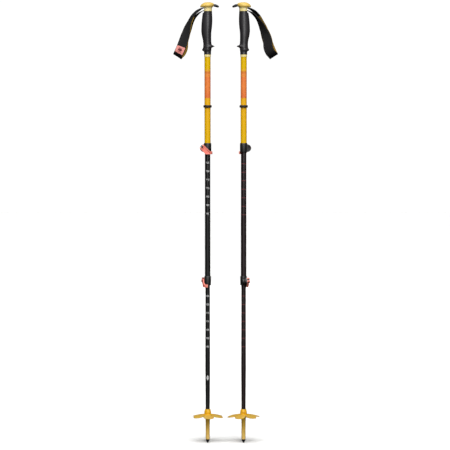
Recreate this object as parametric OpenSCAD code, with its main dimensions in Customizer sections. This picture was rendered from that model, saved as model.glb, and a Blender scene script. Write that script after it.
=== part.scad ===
// A pair of three-section telescoping trekking poles with lever locks, wrist straps and snow baskets.
// Millimetres, +Z up. The origin is on the floor, midway between the two tips. The left pole is drawn
// on its own axis, its strap towards -X and its beak towards +X. The right pole is the same pole
// turned half a turn about the Z axis, so that it shows its back.

/* [Pair] */
// Distance between the two pole axes
pole_gap = 106; // [90:1:160]

/* [Tubes] */
// Outer diameter of the upper tube
upper_d = 18; // [17:0.5:20]
// Outer diameter of the middle tube
middle_d = 16; // [15:0.5:18]
// Outer diameter of the lower tube
lower_d = 14; // [13:0.5:16]
// Wall of the three tubes
tube_wall = 0.6; // [0.5:0.1:1]
// Length of tube that stays inside the next one at the set length
overlap = 78; // [60:1:120]

/* [Locks] */
// Height of the bottom of the upper lock collar above the floor
upper_lock_z = 859; // [820:1:900]
// Height of the bottom of the lower lock collar above the floor
lower_lock_z = 467; // [440:1:520]
// Height of each lock collar
collar_h = 27; // [25:1:32]
// Wall of the collar round the tube
collar_wall = 2; // [1.8:0.1:3]
// Half of the width of the two clamping ears
ear_half = 6; // [5:0.5:8]
// Radius of the lever's cam
cam_r = 4.3; // [4:0.1:5]
// How far the cam is off the centre of its barrel nut
cam_ecc = 0.5; // [0.3:0.1:0.8]
// Thickness of the lever's paddle
lever_t = 3; // [2.5:0.5:4]

/* [Grip] */
// Height of the underside of the grip
grip_z = 1145.5; // [1140:0.5:1150]
// Height of the top of the rubber grip, where the neck begins
neck_z = 1272; // [1270:1:1274]
// Radius of the neck
neck_r = 13; // [12.5:0.5:14]
// Height of the underside of the cap
cap_z = 1283; // [1282:1:1286]
// Height of the top of the cap, which is the set length of the pole
top_z = 1298; // [1297:1:1304]

/* [Strap] */
// Thickness of the black webbing
web_t = 2; // [1.5:0.1:2.5]
// Thickness of the soft lining
lining_t = 1; // [0.6:0.1:1.5]

/* [Tip] */
// Diameter of the basket over its petals
basket_d = 96; // [85:1:100]
// Number of petals of the basket
petals = 6; // [5:1:7]
// Diameter of the tip body below the basket
tip_d = 12.4; // [12:0.1:13]

/* [Hidden] */

fit = 0.03;            // radial clearance between parts that are fixed together
run = 0.06;            // radial clearance between parts that slide or turn
upper_r = upper_d / 2;
middle_r = middle_d / 2;
lower_r = lower_d / 2;
seat_h = 18;           // how far a tube's lower end sits in its lock collar
screw_up = 15.2;       // height of the tension screw above the collar's bottom
screw_r = 2;
barrel_r = 3;
saddle_t = 1.2;
slit = 1.5;            // width of the collar's clamping slit
toe_r = 3.3;           // corner radius of the lever's toe
toe_z = -2.6;          // height of those corners' centres above the collar's bottom
toe_end = 24;          // angle past +X to which the toe runs round the collar
rim_w = 2.4;           // width of the lever's raised rim
groove = 0.8;          // depth of the lever's sunk middle
plug_h = 24;           // length of the guide plug on top of a sliding tube
tube_top_z = neck_z - 6;
upper_end_z = upper_lock_z + collar_h - seat_h;
lower_end_z = lower_lock_z + collar_h - seat_h;
hub_z = 74;            // bottom of the basket hub
hub_top_z = 100;
yellow = [0.90, 0.73, 0.10];
pale = [0.95, 0.84, 0.45];
coral = [0.91, 0.47, 0.40];
black = [0.12, 0.12, 0.13];
rubber = [0.24, 0.24, 0.25];
steel = [0.70, 0.71, 0.73];
white = [0.90, 0.90, 0.88];
gold = [0.84, 0.66, 0.20];

$fn = 64;

function unit(v) = v / norm(v);
function lerp(a, b, t) = a + (b - a) * t;

// ---- lofts ---------------------------------------------------------------------------------------
// A closed solid through rings of points, each ring with the same number of points.
module loft(rings) {
    n = len(rings[0]);
    m = len(rings);
    polyhedron(
        points = [for (ring = rings) each ring],
        faces = concat(
            [[for (k = [0:n - 1]) k]],
            [for (j = [0:m - 2]) for (k = [0:n - 1])
                each let (a = j * n + k, b = j * n + (k + 1) % n) [[a, a + n, b], [b, a + n, b + n]]],
            [[for (k = [n - 1:-1:0]) (m - 1) * n + k]]
        )
    );
}

// An egg-shaped level ring: back is its reach towards -X, front towards +X and side along Y.
function egg(z, back, front, side, n = 32) = [
    for (k = [0:n - 1]) let (a = 360 * k / n, c = cos(a)) [(c < 0 ? back : front) * c, side * sin(a), z]
];

// ---- grip ----------------------------------------------------------------------------------------
pin_x = -4.5;          // the pin that the strap loops round, across the neck
pin_z = 1278;
pin_r = 1.5;
slot_w = 16.4;         // width of the strap's slot in the neck
slot_z = neck_z - 4.8; // floor of the slot
sleeve_r = 10.2;       // outside of the core's sleeve under the rubber
sleeve_z = 1161;

// The slot that the strap runs in: through the back of the neck and a notch in the rubber.
module strap_slot() translate([-30, -slot_w / 2, slot_z]) cube([30.4, slot_w, cap_z]);

module grip_core() color(pale) difference() {
    rotate_extrude() polygon([
        [0, sleeve_z], [sleeve_r, sleeve_z], [sleeve_r, neck_z], [neck_r, neck_z], [neck_r, neck_z + 8],
        [neck_r + 1, cap_z], [0, cap_z]
    ]);
    translate([0, 0, sleeve_z - 1]) cylinder(r = upper_r + fit, h = tube_top_z + 1 + fit - sleeve_z);
    strap_slot();
    translate([pin_x, 0, pin_z]) rotate([90, 0, 0])
        cylinder(r = pin_r + fit, h = 4 * neck_r, center = true);
}

// Rings of the cap: height of the ring, its reach back, front and side, and how much it tilts up
// towards the beak. The brim droops a little more at the back.
cap_rings = [
    [0, 15.5, 14.2, 14.4, 0], [0.9, 19.2, 16.6, 15.6, 1.2], [2, 21.2, 18, 16.3, 2.2],
    [3.6, 21.5, 18.8, 16.5, 3], [5.8, 20.6, 18.8, 16.1, 3.4], [8, 18.8, 17.6, 14.9, 3.2], [10.2, 15.8, 15, 12.5, 2.6],
    [12.2, 11.6, 11.4, 9.2, 1.8], [13.6, 6.6, 6.6, 5.4, 1], [14.2, 1.5, 1.5, 1.4, 0.4]
];
cap_rise = (top_z - cap_z - 0.3) / 14.2;
brim_droop = 1.2;        // how far the brim's back end hangs down

function cap_point(p, lift) =
    p + [0, 0, lift * (p[0] + 20) / 40 - brim_droop * pow(max(0, -8 - p[0]) / 13, 2)];

module grip_cap() color(pale) translate([0, 0, cap_z + 0.05])
    loft([for (c = cap_rings) [for (p = egg(c[0] * cap_rise, c[1], c[2], c[3])) cap_point(p, c[4])]]);

// The beak is a hooked black insert that hangs over the front of the cap.
module grip_beak() color(black) difference() {
    hull() {
        translate([17.6, 0, 1288.6]) rotate([0, 90, 0]) cylinder(r = 4.3, h = 2, $fn = 32);
        translate([22, 0, 1288.6]) sphere(r = 4, $fn = 24);
        translate([27, 0, 1287]) sphere(r = 3.5, $fn = 24);
        translate([31, 0, 1285.2]) sphere(r = 2.7, $fn = 24);
    }
    translate([0, 0, 1270]) rotate_extrude() square([18.9, 60]);
}

// Rings of the rubber grip: height above the grip's underside, reach back, front and side.
grip_rings = [
    [0, 10.4, 10.4, 10.4], [8, 10.5, 10.4, 10.5], [10.5, 14.2, 10.8, 11.4], [13.5, 16.2, 11.2, 12.2],
    [16.5, 14.6, 11.4, 12.4], [19, 13.4, 12.2, 12.6], [21.3, 13, 16.2, 12.8], [23.2, 12.8, 20.4, 12.8],
    [25, 12.7, 19.6, 12.6], [27.2, 12.6, 14.4, 12.5], [30, 12.5, 12, 12.4], [36, 13, 11.2, 12.6],
    [43, 14, 10.9, 12.9], [54.5, 16.6, 10.9, 13.6], [66.5, 18.2, 11.4, 14.2], [77.5, 18.2, 12.8, 14.5],
    [89.5, 17.6, 13.8, 14.5], [101.5, 16.6, 14.2, 14.2], [114.5, 15, 13.8, 13.6],
    [126.4, 13.5, 13.2, 13.2]
];

module grip_rubber() color(rubber) difference() {
    translate([0, 0, grip_z]) loft([for (g = grip_rings) egg(g[0], g[1], g[2], g[3])]);
    translate([0, 0, grip_z - 1]) cylinder(r = upper_r + fit, h = 100);
    translate([0, 0, sleeve_z - 0.1]) cylinder(r = sleeve_r + fit, h = 200);
    strap_slot();
}

// The band is a moulded ferrule that closes the lower end of the grip.
module grip_band() color(pale) translate([0, 0, grip_z - 7.5]) difference() {
    rotate_extrude() polygon([[0, 0.4], [9.5, 0.4], [9.9, 0.8], [9.9, 7.4], [0, 7.4]]);
    cylinder(r = upper_r + fit, h = 30, center = true);
}

// ---- strap ---------------------------------------------------------------------------------------
// Points of the loop's middle line, from the pin down the front leg, round the fold and back up to
// the pin: x, y, z, turn of the band from edge-on, droop of its free edge, and width.
strap_points = [
    [-4.5, 0, 1279.6, 0, 53, 15], [-10, 0, 1279.9, 0, 55, 15], [-17, 0, 1278.4, 12, 58, 15.2],
    [-25, 0, 1274, 22, 56, 16.5], [-33.5, -0.5, 1268, 24, 50, 18], [-43.8, -2, 1256, 25, 38, 20.5],
    [-51.5, -4, 1240.8, 31, 28, 22.5], [-58.2, -7, 1223.5, 47, 22, 25], [-62.9, -10, 1206.3, 61, 18, 27],
    [-69.3, -12.5, 1187, 71, 18, 28], [-76, -14.5, 1167.6, 75, 21, 28.4],
    [-82.5, -15.5, 1152.5, 76, 26, 28.4], [-86.4, -11, 1144.2, 76, 31, 28.4],
    [-87.8, 0, 1140.5, 76, 33, 28.4], [-83.8, 11, 1145, 76, 33, 28.4], [-77, 15.8, 1152.5, 76, 31, 28.4],
    [-71.8, 16, 1165.5, 76, 26, 28.4], [-70, 15, 1184, 73, 20, 28], [-64.6, 12.5, 1203, 64, 18, 27],
    [-56.4, 9.5, 1221, 49, 22, 25], [-50, 7, 1234.5, 36, 27, 23], [-43.8, 4.6, 1245.5, 26, 35, 21],
    [-37, 2.4, 1255.5, 20, 42, 19], [-28.5, 0.8, 1264.4, 17, 50, 17], [-20.5, 0, 1270, 8, 55, 15.6],
    [-13, 0, 1274, 0, 60, 15], [-4.5, 0, 1276.4, 0, 60, 15]
];
strap_steps = 3;       // stations between two points of the middle line
strap_gap = 0.3;       // clearance of the lining and the patch from the webbing, which is twisted

function strap_at(i) = strap_points[max(0, min(len(strap_points) - 1, i))];

// A smooth curve through the points: station s is counted in points from the first.
function strap_station(s) =
    let (i = floor(s), t = s - i, a = strap_at(i - 1), b = strap_at(i), c = strap_at(i + 1), d = strap_at(i + 2))
    b + 0.5 * t * ((c - a) + t * ((2 * a - 5 * b + 4 * c - d) + t * (3 * (b - c) + d - a)));

function place_of(p) = [p[0], p[1], p[2]];

// One four-cornered ring of the band at station s, between two depths from its middle surface,
// the outside of the loop being positive, and trimmed by the hem on both edges.
function band_ring(s, inner, outer, hem) =
    let (
        p = strap_station(s),
        along = unit(place_of(strap_station(s + 0.1)) - place_of(strap_station(s - 0.1))),
        lean = [sin(p[3]) * cos(p[4]), -cos(p[3]), -sin(p[3]) * sin(p[4])],
        wide = unit(lean - (lean * along) * along),
        out = cross(along, wide),
        half = (p[5] / 2 - hem) * wide
    )
    [for (c = [[1, inner], [1, outer], [-1, outer], [-1, inner]]) place_of(p) + c[0] * half + c[1] * out];

module band(first, last, inner, outer, hem)
    loft([for (k = [0:strap_steps * (last - first)])
        band_ring(first + k / strap_steps, inner, outer, hem)]);

// The webbing loops round the pin and sits inside the neck's slot with room to swing.
module strap() color(black) difference() {
    union() {
        band(0, len(strap_points) - 1, 0, web_t, 0);
        translate([pin_x, 0, pin_z]) rotate([90, 0, 0]) cylinder(r = pin_r + web_t, h = 15, center = true);
    }
    translate([pin_x, 0, pin_z]) rotate([90, 0, 0]) cylinder(r = pin_r + run, h = 40, center = true);
}

module strap_lining() color(yellow) band(5, 19, -strap_gap - lining_t, -strap_gap, -0.5);

module strap_patch() color(coral) band(10, 11.34, web_t + strap_gap, web_t + strap_gap + 0.6, 1.4);

module strap_pin() color(steel) translate([pin_x, 0, pin_z]) rotate([90, 0, 0])
    cylinder(r = pin_r, h = 23, center = true);

// ---- tubes ---------------------------------------------------------------------------------------
module tube(radius, bottom, top) translate([0, 0, bottom]) difference() {
    cylinder(r = radius, h = top - bottom);
    translate([0, 0, -1]) cylinder(r = radius - tube_wall, h = top - bottom + 2);
}

module upper_tube() color(yellow) tube(upper_r, upper_end_z, tube_top_z);

middle_top_z = upper_end_z + overlap;
lower_top_z = lower_end_z + overlap;

module middle_tube() color(black) tube(middle_r, lower_end_z, middle_top_z);

// A guide plug closes the top of a sliding tube: its stem is pressed into the tube and its head
// runs inside the larger one.
module guide_plug(radius, top) {
    bore_r = radius - tube_wall;
    head_r = radius + 1 - tube_wall - run;
    translate([0, 0, top - plug_h + 6]) cylinder(r = bore_r - fit, h = plug_h - 6);
    translate([0, 0, top + 0.05]) rotate_extrude()
        polygon([[0, 0], [head_r, 0], [head_r, 5], [head_r - 1, 6], [0, 6]]);
    translate([0, 0, top - 0.5]) cylinder(r = bore_r - fit, h = 1);
}

module middle_plug() color(white) guide_plug(middle_r, middle_top_z);

// The lower tube tapers towards the tip.
taper_top_z = 215;
neck_down_r = 6.1;
tube_foot_z = 62;

module lower_tube() color(black) rotate_extrude() polygon([
    [neck_down_r - tube_wall, tube_foot_z], [neck_down_r, tube_foot_z], [neck_down_r, hub_top_z + 4],
    [lower_r, taper_top_z], [lower_r, lower_top_z], [lower_r - tube_wall, lower_top_z],
    [lower_r - tube_wall, taper_top_z], [neck_down_r - tube_wall, hub_top_z + 4]
]);

module lower_plug() color(white) guide_plug(lower_r, lower_top_z);

module choke_ring() color(rubber) translate([0, 0, 989.5]) difference() {
    rotate_extrude() polygon(concat([[0, 0]],
        [for (a = [-60:20:60]) [upper_r + 1.3 + 2.1 * cos(a), 4 + 4.2 * sin(a)]], [[0, 8]]));
    translate([0, 0, -1]) cylinder(r = upper_r + fit, h = 12);
}

// ---- lever locks ---------------------------------------------------------------------------------
// Each lock is drawn with its collar's bottom at z = 0, its ears towards -X and its lever in front,
// towards -Y. outer is the radius of the tube that it is fixed to, inner of the tube that it clamps.
function collar_r(outer) = outer + collar_wall;
function pivot(outer) = [-(collar_r(outer) + 4.5), -(ear_half + saddle_t + cam_r + cam_ecc + 0.02), screw_up];

// Turns a shape drawn along Z onto the barrel nut's axis, which rises at 45 degrees towards the beak,
// with the shape's own X pointing down along the lever.
module on_pivot(outer) translate(pivot(outer)) rotate([0, 45, 0]) children();

module lock_collar(outer, inner) {
    r = collar_r(outer);
    px = pivot(outer)[0];
    difference() {
        union() {
            rotate_extrude() polygon([
                [0, 0], [r - 0.8, 0], [r, 0.8], [r, collar_h - 1.6], [r - 1, collar_h], [0, collar_h]
            ]);
            translate([px + 4.4, 0, 12]) rotate([90, 0, 0]) cylinder(r = 11, h = 2 * ear_half, center = true);
        }
        translate([0, 0, collar_h - seat_h]) cylinder(r = outer + fit, h = collar_h);
        translate([0, 0, -1]) cylinder(r = inner + run, h = collar_h + 2);
        translate([-40, -slit / 2, -1]) cube([40, slit, collar_h + 2]);
        translate([px, 0, screw_up]) rotate([90, 0, 0]) cylinder(r = screw_r + run, h = 60, center = true);
        translate([px, ear_half - 2.4, screw_up]) rotate([-90, 0, 0]) cylinder(r = 3.8, h = 10);
    }
}

// The tension screw: its head is sunk in the back ear and its shank ends in the barrel nut.
module lock_screw(outer) translate([pivot(outer)[0], 0, screw_up]) rotate([90, 0, 0]) {
    difference() {
        translate([0, 0, -ear_half + 0.3]) cylinder(r = 3.5, h = 2);
        translate([0, 0, -ear_half]) cylinder(r = 1.6, h = 1.5, $fn = 6);
    }
    translate([0, 0, -ear_half + 2]) cylinder(r = screw_r, h = -pivot(outer)[1] + ear_half - 0.2);
}

module lock_barrel_nut(outer) on_pivot(outer) difference() {
    cylinder(r = barrel_r, h = 14, center = true);
    rotate([0, -45, 0]) rotate([90, 0, 0]) cylinder(r = screw_r + run, h = 20, center = true);
}

module lock_saddle(outer) difference() {
    translate([pivot(outer)[0], -ear_half - saddle_t / 2, screw_up]) rotate([0, 45, 0])
        cube([7.5, saddle_t - 0.02, 14], center = true);
    cylinder(r = collar_r(outer) + 0.1, h = 60);
    translate([pivot(outer)[0], 0, screw_up]) rotate([90, 0, 0])
        cylinder(r = screw_r + run, h = 40, center = true);
}

// The lever's outline seen from the front, from its rounded root to its wide toe, grown by more.
module lever_outline(outer, more) hull() {
    translate([pivot(outer)[0], screw_up]) circle(r = 7.5 + more, $fn = 32);
    translate([-4, toe_z]) circle(r = toe_r + more, $fn = 32);
    translate([collar_r(outer) - 3, toe_z]) circle(r = toe_r + more, $fn = 32);
}

// A block with the lever's outline and its front face: flat towards the ears, round past the middle.
module lever_block(outer, front, more) intersection() {
    rotate([90, 0, 0]) linear_extrude(height = 40) lever_outline(outer, more);
    union() {
        translate([0, 0, -30]) cylinder(r = front, h = 80);
        translate([-60, -front, -30]) cube([60, 60, 80]);
    }
}

// The end of the toe, which runs on round the collar's side.
module lever_toe(front) intersection() {
    translate([0, 0, toe_z - toe_r]) cylinder(r = front, h = 2 * toe_r + 2);
    translate([0, 0, -20]) linear_extrude(height = 40)
        polygon([[0, 0], for (a = [-56, -22, toe_end]) 40 * [cos(a), sin(a)]]);
}

// The lever: two cam cheeks on the barrel nut, then a paddle with a sunk middle that wraps round the
// collar's front.
module lock_lever(outer) {
    shell_r = collar_r(outer) + 0.5;
    front = shell_r + lever_t;
    difference() {
        union() {
            intersection() {
                on_pivot(outer) translate([0, cam_ecc, 0]) cylinder(r = cam_r, h = 14.6, center = true);
                translate([pivot(outer)[0], 0, screw_up]) rotate([90, 0, 0])
                    cylinder(r = 7.7, h = 60, center = true);
            }
            difference() {
                union() {
                    lever_block(outer, front, 0);
                    lever_toe(front);
                }
                translate([0, 0, -20]) cylinder(r = shell_r, h = 60);
                // clear of the ears, of the boss's own end and of the back
                translate([-60, -shell_r + 2.4, -20]) cube([56, 60, 60]);
                on_pivot(outer) translate([-30, -30, -30]) cube([30, 60, 60]);
                translate([-30, -1.5, -30]) cube([60, 30, 60]);
            }
        }
        difference() {
            lever_block(outer, front + 4, -rim_w);
            lever_block(outer, front - groove, 4);
            on_pivot(outer) translate([-30, -30, -30]) cube([35, 60, 60]);
        }
        on_pivot(outer) {
            cylinder(r = barrel_r + run, h = 40, center = true);
            linear_extrude(height = 5.8, center = true)
                polygon([[3, 9], [3, 0], [2.4, -3], [1.6, -9], [-9, -9], [-9, 9]]);
        }
    }
}

module lock_place(z, turn) translate([0, 0, z]) rotate([0, 0, turn]) children();
module upper_lock() lock_place(upper_lock_z, 0) children();
module lower_lock() lock_place(lower_lock_z, -80) children();

module upper_collar() color(black) upper_lock() lock_collar(upper_r, middle_r);
module lower_collar() color(black) lower_lock() lock_collar(middle_r, lower_r);
module upper_screw() color(steel) upper_lock() lock_screw(upper_r);
module lower_screw() color(steel) lower_lock() lock_screw(middle_r);
module upper_barrel_nut() color(steel) upper_lock() lock_barrel_nut(upper_r);
module lower_barrel_nut() color(steel) lower_lock() lock_barrel_nut(middle_r);
module upper_saddle() color(white) upper_lock() lock_saddle(upper_r);
module lower_saddle() color(white) lower_lock() lock_saddle(middle_r);
module upper_lever() color(coral) upper_lock() lock_lever(upper_r);
module lower_lever() color(coral) lower_lock() lock_lever(middle_r);

// ---- tip and basket ------------------------------------------------------------------------------
tip_r = tip_d / 2;
tip_neck_r = 7;        // the tip body's seat under the basket hub

module tip_body() color(gold) difference() {
    rotate_extrude() polygon([
        [0, 10], [tip_r - 0.9, 10], [tip_r - 0.2, 11], [tip_r - 0.2, 40], [tip_r, 60],
        [tip_neck_r, 76], [tip_neck_r, hub_top_z - 2], [0, hub_top_z - 2]
    ]);
    translate([0, 0, tube_foot_z - fit]) cylinder(r = neck_down_r + fit, h = 60);
    cylinder(r = 3 + fit, h = 26);
}

// The carbide point has a shank in the tip body, a collar against its end and a cupped point.
module tip_point() color(steel) difference() {
    rotate_extrude() polygon([
        [0, 0.6], [1.6, 0], [2.4, 0.8], [3.4, 4], [5.2, 7.2], [5.2, 9.95], [3, 9.95], [3, 25], [0, 25]
    ]);
    translate([0, 0, -0.1]) cylinder(r1 = 1, r2 = 0.2, h = 1);
}

// The basket: a hub on the tip body and a drooping disc cut into round petals.
petal_r = 15.6;
root_z = 85;
droop = 7.5;
disc_t = 2.2;

function disc_z(r) = root_z - droop * pow(r / (basket_d / 2), 2);

module basket(turn) color(gold) difference() {
    union() {
        rotate_extrude() polygon([
            [0, hub_z], [8, hub_z], [8.8, hub_z + 1], [9.8, 84], [10.2, 90], [9.6, 94], [8.4, 97.5],
            [7.6, hub_top_z], [0, hub_top_z]
        ]);
        intersection() {
            rotate_extrude() polygon(concat(
                [for (r = [6:6:basket_d / 2]) [r, disc_z(r)]],
                [for (r = [basket_d / 2:-6:6]) [r, disc_z(r) - lerp(disc_t + 1, disc_t - 0.6, r / 48)]]
            ));
            translate([0, 0, hub_z - 20]) linear_extrude(height = 60) union() {
                circle(r = 19);
                for (k = [0:petals - 1]) rotate(360 / petals * k + turn) {
                    translate([basket_d / 2 - petal_r, 0]) circle(r = petal_r);
                    translate([0, -7]) square([basket_d / 2 - petal_r, 14]);
                }
            }
        }
    }
    translate([0, 0, hub_z - 1]) cylinder(r = tip_neck_r + run, h = 60);
    // the slot that a coin turns the hub with
    translate([-2.6, 8.7, 88.6]) cube([5.2, 4, 2]);
}

// ---- the two poles -------------------------------------------------------------------------------
module left() translate([-pole_gap / 2, 0, 0]) children();
module right() rotate([0, 0, 180]) left() children();

left() grip_core();  // left_grip_core
left() grip_cap();  // left_grip_cap
left() grip_beak();  // left_grip_beak
left() grip_rubber();  // left_grip_rubber
left() grip_band();  // left_grip_band
left() strap_pin();  // left_strap_pin
left() strap();  // left_strap
left() strap_lining();  // left_strap_lining
left() strap_patch();  // left_strap_patch
left() upper_tube();  // left_upper_tube
left() choke_ring();  // left_choke_ring
left() upper_collar();  // left_upper_collar
left() upper_barrel_nut();  // left_upper_barrel_nut
left() upper_saddle();  // left_upper_saddle
left() upper_screw();  // left_upper_screw
left() upper_lever();  // left_upper_lever
left() middle_tube();  // left_middle_tube
left() middle_plug();  // left_middle_plug
left() lower_collar();  // left_lower_collar
left() lower_barrel_nut();  // left_lower_barrel_nut
left() lower_saddle();  // left_lower_saddle
left() lower_screw();  // left_lower_screw
left() lower_lever();  // left_lower_lever
left() lower_tube();  // left_lower_tube
left() lower_plug();  // left_lower_plug
left() tip_body();  // left_tip_body
left() tip_point();  // left_tip_point
left() basket(-24);  // left_basket
right() grip_core();  // right_grip_core
right() grip_cap();  // right_grip_cap
right() grip_beak();  // right_grip_beak
right() grip_rubber();  // right_grip_rubber
right() grip_band();  // right_grip_band
right() strap_pin();  // right_strap_pin
right() strap();  // right_strap
right() strap_lining();  // right_strap_lining
right() strap_patch();  // right_strap_patch
right() upper_tube();  // right_upper_tube
right() choke_ring();  // right_choke_ring
right() upper_collar();  // right_upper_collar
right() upper_barrel_nut();  // right_upper_barrel_nut
right() upper_saddle();  // right_upper_saddle
right() upper_screw();  // right_upper_screw
right() upper_lever();  // right_upper_lever
right() middle_tube();  // right_middle_tube
right() middle_plug();  // right_middle_plug
right() lower_collar();  // right_lower_collar
right() lower_barrel_nut();  // right_lower_barrel_nut
right() lower_saddle();  // right_lower_saddle
right() lower_screw();  // right_lower_screw
right() lower_lever();  // right_lower_lever
right() lower_tube();  // right_lower_tube
right() lower_plug();  // right_lower_plug
right() tip_body();  // right_tip_body
right() tip_point();  // right_tip_point
right() basket(12);  // right_basket
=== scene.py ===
import math

import bmesh
import bpy
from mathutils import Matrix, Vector


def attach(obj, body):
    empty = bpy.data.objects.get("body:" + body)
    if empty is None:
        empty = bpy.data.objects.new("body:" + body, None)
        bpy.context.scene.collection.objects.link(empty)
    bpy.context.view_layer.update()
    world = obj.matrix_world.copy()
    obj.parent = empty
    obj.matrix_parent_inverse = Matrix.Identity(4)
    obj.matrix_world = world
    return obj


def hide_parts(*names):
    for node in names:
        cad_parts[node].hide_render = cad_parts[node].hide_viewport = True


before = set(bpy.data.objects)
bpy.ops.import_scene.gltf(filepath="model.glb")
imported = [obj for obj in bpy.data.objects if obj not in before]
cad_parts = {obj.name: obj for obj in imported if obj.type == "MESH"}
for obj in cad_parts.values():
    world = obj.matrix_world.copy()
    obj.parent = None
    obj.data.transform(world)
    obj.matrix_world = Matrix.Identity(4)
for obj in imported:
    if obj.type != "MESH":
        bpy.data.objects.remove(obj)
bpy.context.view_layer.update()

# ---- camera --------------------------------------------------------------------------------------
# A long lens at chest height, six and a half metres in front of the pair, so that the two poles
# stand almost parallel and fill the height of the frame.
camera = bpy.data.objects.new("camera", bpy.data.cameras.new("camera"))
bpy.context.scene.collection.objects.link(camera)
bpy.context.scene.camera = camera
camera.data.lens = 176.9
camera.location = (-0.0018, -6.5, 1.0)
aim = Vector((-0.0018, 0, 0.6448))
camera.rotation_euler = (aim - camera.location).to_track_quat("-Z", "Y").to_euler()


# ---- studio: floor and light ---------------------------------------------------------------------
# The poles stand on a wide sheet of matt white paper inside a white tent. A soft light hangs high
# above them, and soft boxes stand in front and behind.
def linear(hex_colour):
    """The linear colour of an sRGB hex value."""
    parts = [int(hex_colour[i:i + 2], 16) / 255 for i in (1, 3, 5)]
    return (*[c / 12.92 if c <= 0.04045 else ((c + 0.055) / 1.055) ** 2.4 for c in parts], 1)


def add(tree, kind, put=(), **settings):
    """Adds a node with its settings, and sets or links its inputs."""
    made = tree.nodes.new(kind)
    for name, value in settings.items():
        setattr(made, name, value)
    for socket, value in dict(put).items():
        if isinstance(value, bpy.types.NodeSocket):
            tree.links.new(value, made.inputs[socket])
        else:
            made.inputs[socket].default_value = value
    return made


def new_finish(name, values):
    """A new material, its node tree and its shader, with the shader's plain values set."""
    made = bpy.data.materials.new(name)
    made.use_nodes = True
    shader = made.node_tree.nodes["Principled BSDF"]
    for socket, value in values.items():
        shader.inputs[socket].default_value = value
    return made, made.node_tree, shader


# Matt paper: no gloss, and fibres about 2 mm long that barely change its white.
paper, tree, shader = new_finish("matt_paper", {"Roughness": 0.9, "Specular IOR Level": 0.2})
place = add(tree, "ShaderNodeTexCoord").outputs["Object"]
fibre = add(tree, "ShaderNodeTexNoise", {"Vector": place, "Scale": 500.0, "Detail": 3.0})
tint = add(tree, "ShaderNodeMix", {
    "Factor": fibre.outputs["Fac"], "A": linear("#F7F7F6"), "B": linear("#FBFBFA")}, data_type="RGBA")
tree.links.new(tint.outputs["Result"], shader.inputs["Base Color"])

floor_mesh = bpy.data.meshes.new("paper_floor")
floor_mesh.from_pydata([(x, y, 0) for x in (-14, 14) for y in (-14, 14)], [], [(0, 2, 3, 1)])
floor_mesh.materials.append(paper)
floor = bpy.data.objects.new("paper_floor", floor_mesh)
bpy.context.scene.collection.objects.link(floor)
floor.visible_glossy = False
floor.visible_diffuse = False

# The tent is only a white background: it neither lights the poles nor shows in their gloss.
tent_cloth = bpy.data.materials.new("tent_cloth")
tent_cloth.use_nodes = True
tree = tent_cloth.node_tree
tree.nodes.clear()
glow = add(tree, "ShaderNodeEmission", {"Color": linear("#FFFFFF"), "Strength": 1.05})
add(tree, "ShaderNodeOutputMaterial", {"Surface": glow.outputs["Emission"]})
shell = bmesh.new()
bmesh.ops.create_icosphere(shell, subdivisions=3, radius=20)
tent_mesh = bpy.data.meshes.new("tent")
shell.to_mesh(tent_mesh)
shell.free()
tent_mesh.materials.append(tent_cloth)
tent = bpy.data.objects.new("tent", tent_mesh)
bpy.context.scene.collection.objects.link(tent)
tent.visible_diffuse = False
tent.visible_glossy = False
tent.visible_transmission = False
tent.visible_shadow = False

top_light = bpy.data.objects.new("top_light", bpy.data.lights.new("top_light", "SUN"))
top_light.data.angle = math.radians(56)
top_light.data.energy = 3.7
top_light.rotation_euler = (math.radians(32), 0, 0)
bpy.context.scene.collection.objects.link(top_light)
middle_of_poles = Vector((0, 0, 0.7))
for name, spot, size, watts, glossy in (
        ("front_box", (0.9, -5.4, 1.7), (1.0, 2.6), 85, True),
        ("rear_box", (-1.2, 5.4, 1.9), (1.6, 2.4), 110, False)):
    lamp = bpy.data.objects.new(name, bpy.data.lights.new(name, "AREA"))
    bpy.context.scene.collection.objects.link(lamp)
    lamp.data.shape = "RECTANGLE"
    lamp.data.size, lamp.data.size_y = size
    lamp.data.energy = watts
    lamp.location = spot
    lamp.rotation_euler = (middle_of_poles - lamp.location).to_track_quat("-Z", "Y").to_euler()
    lamp.visible_glossy = glossy

daylight = bpy.data.worlds.new("daylight")
daylight.use_nodes = True
daylight.node_tree.nodes["Background"].inputs["Color"].default_value = linear("#FFFFFF")
daylight.node_tree.nodes["Background"].inputs["Strength"].default_value = 0.12
daylight.cycles_visibility.glossy = False
bpy.context.scene.world = daylight
bpy.context.scene.view_settings.view_transform = "Standard"


# ---- grip core, cap and ferrule ------------------------------------------------------------------
# The core with its neck, the mushroom cap on it and the ferrule under the grip are injection moulded
# in pale yellow polypropylene. The cap is pressed on and the ferrule closes the rubber's lower end.

# The left pole's axis stands this far to the left, in millimetres, and the right pole is the left one
# turned half a turn.
HALF_GAP = 53


def put_at(side, x, y, z):
    """A point of one pole, in millimetres from that pole's own axis, in the row frame."""
    turn = 1 if side == "left" else -1
    return Vector((turn * (x - HALF_GAP) / 1000, turn * y / 1000, z / 1000))


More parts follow.
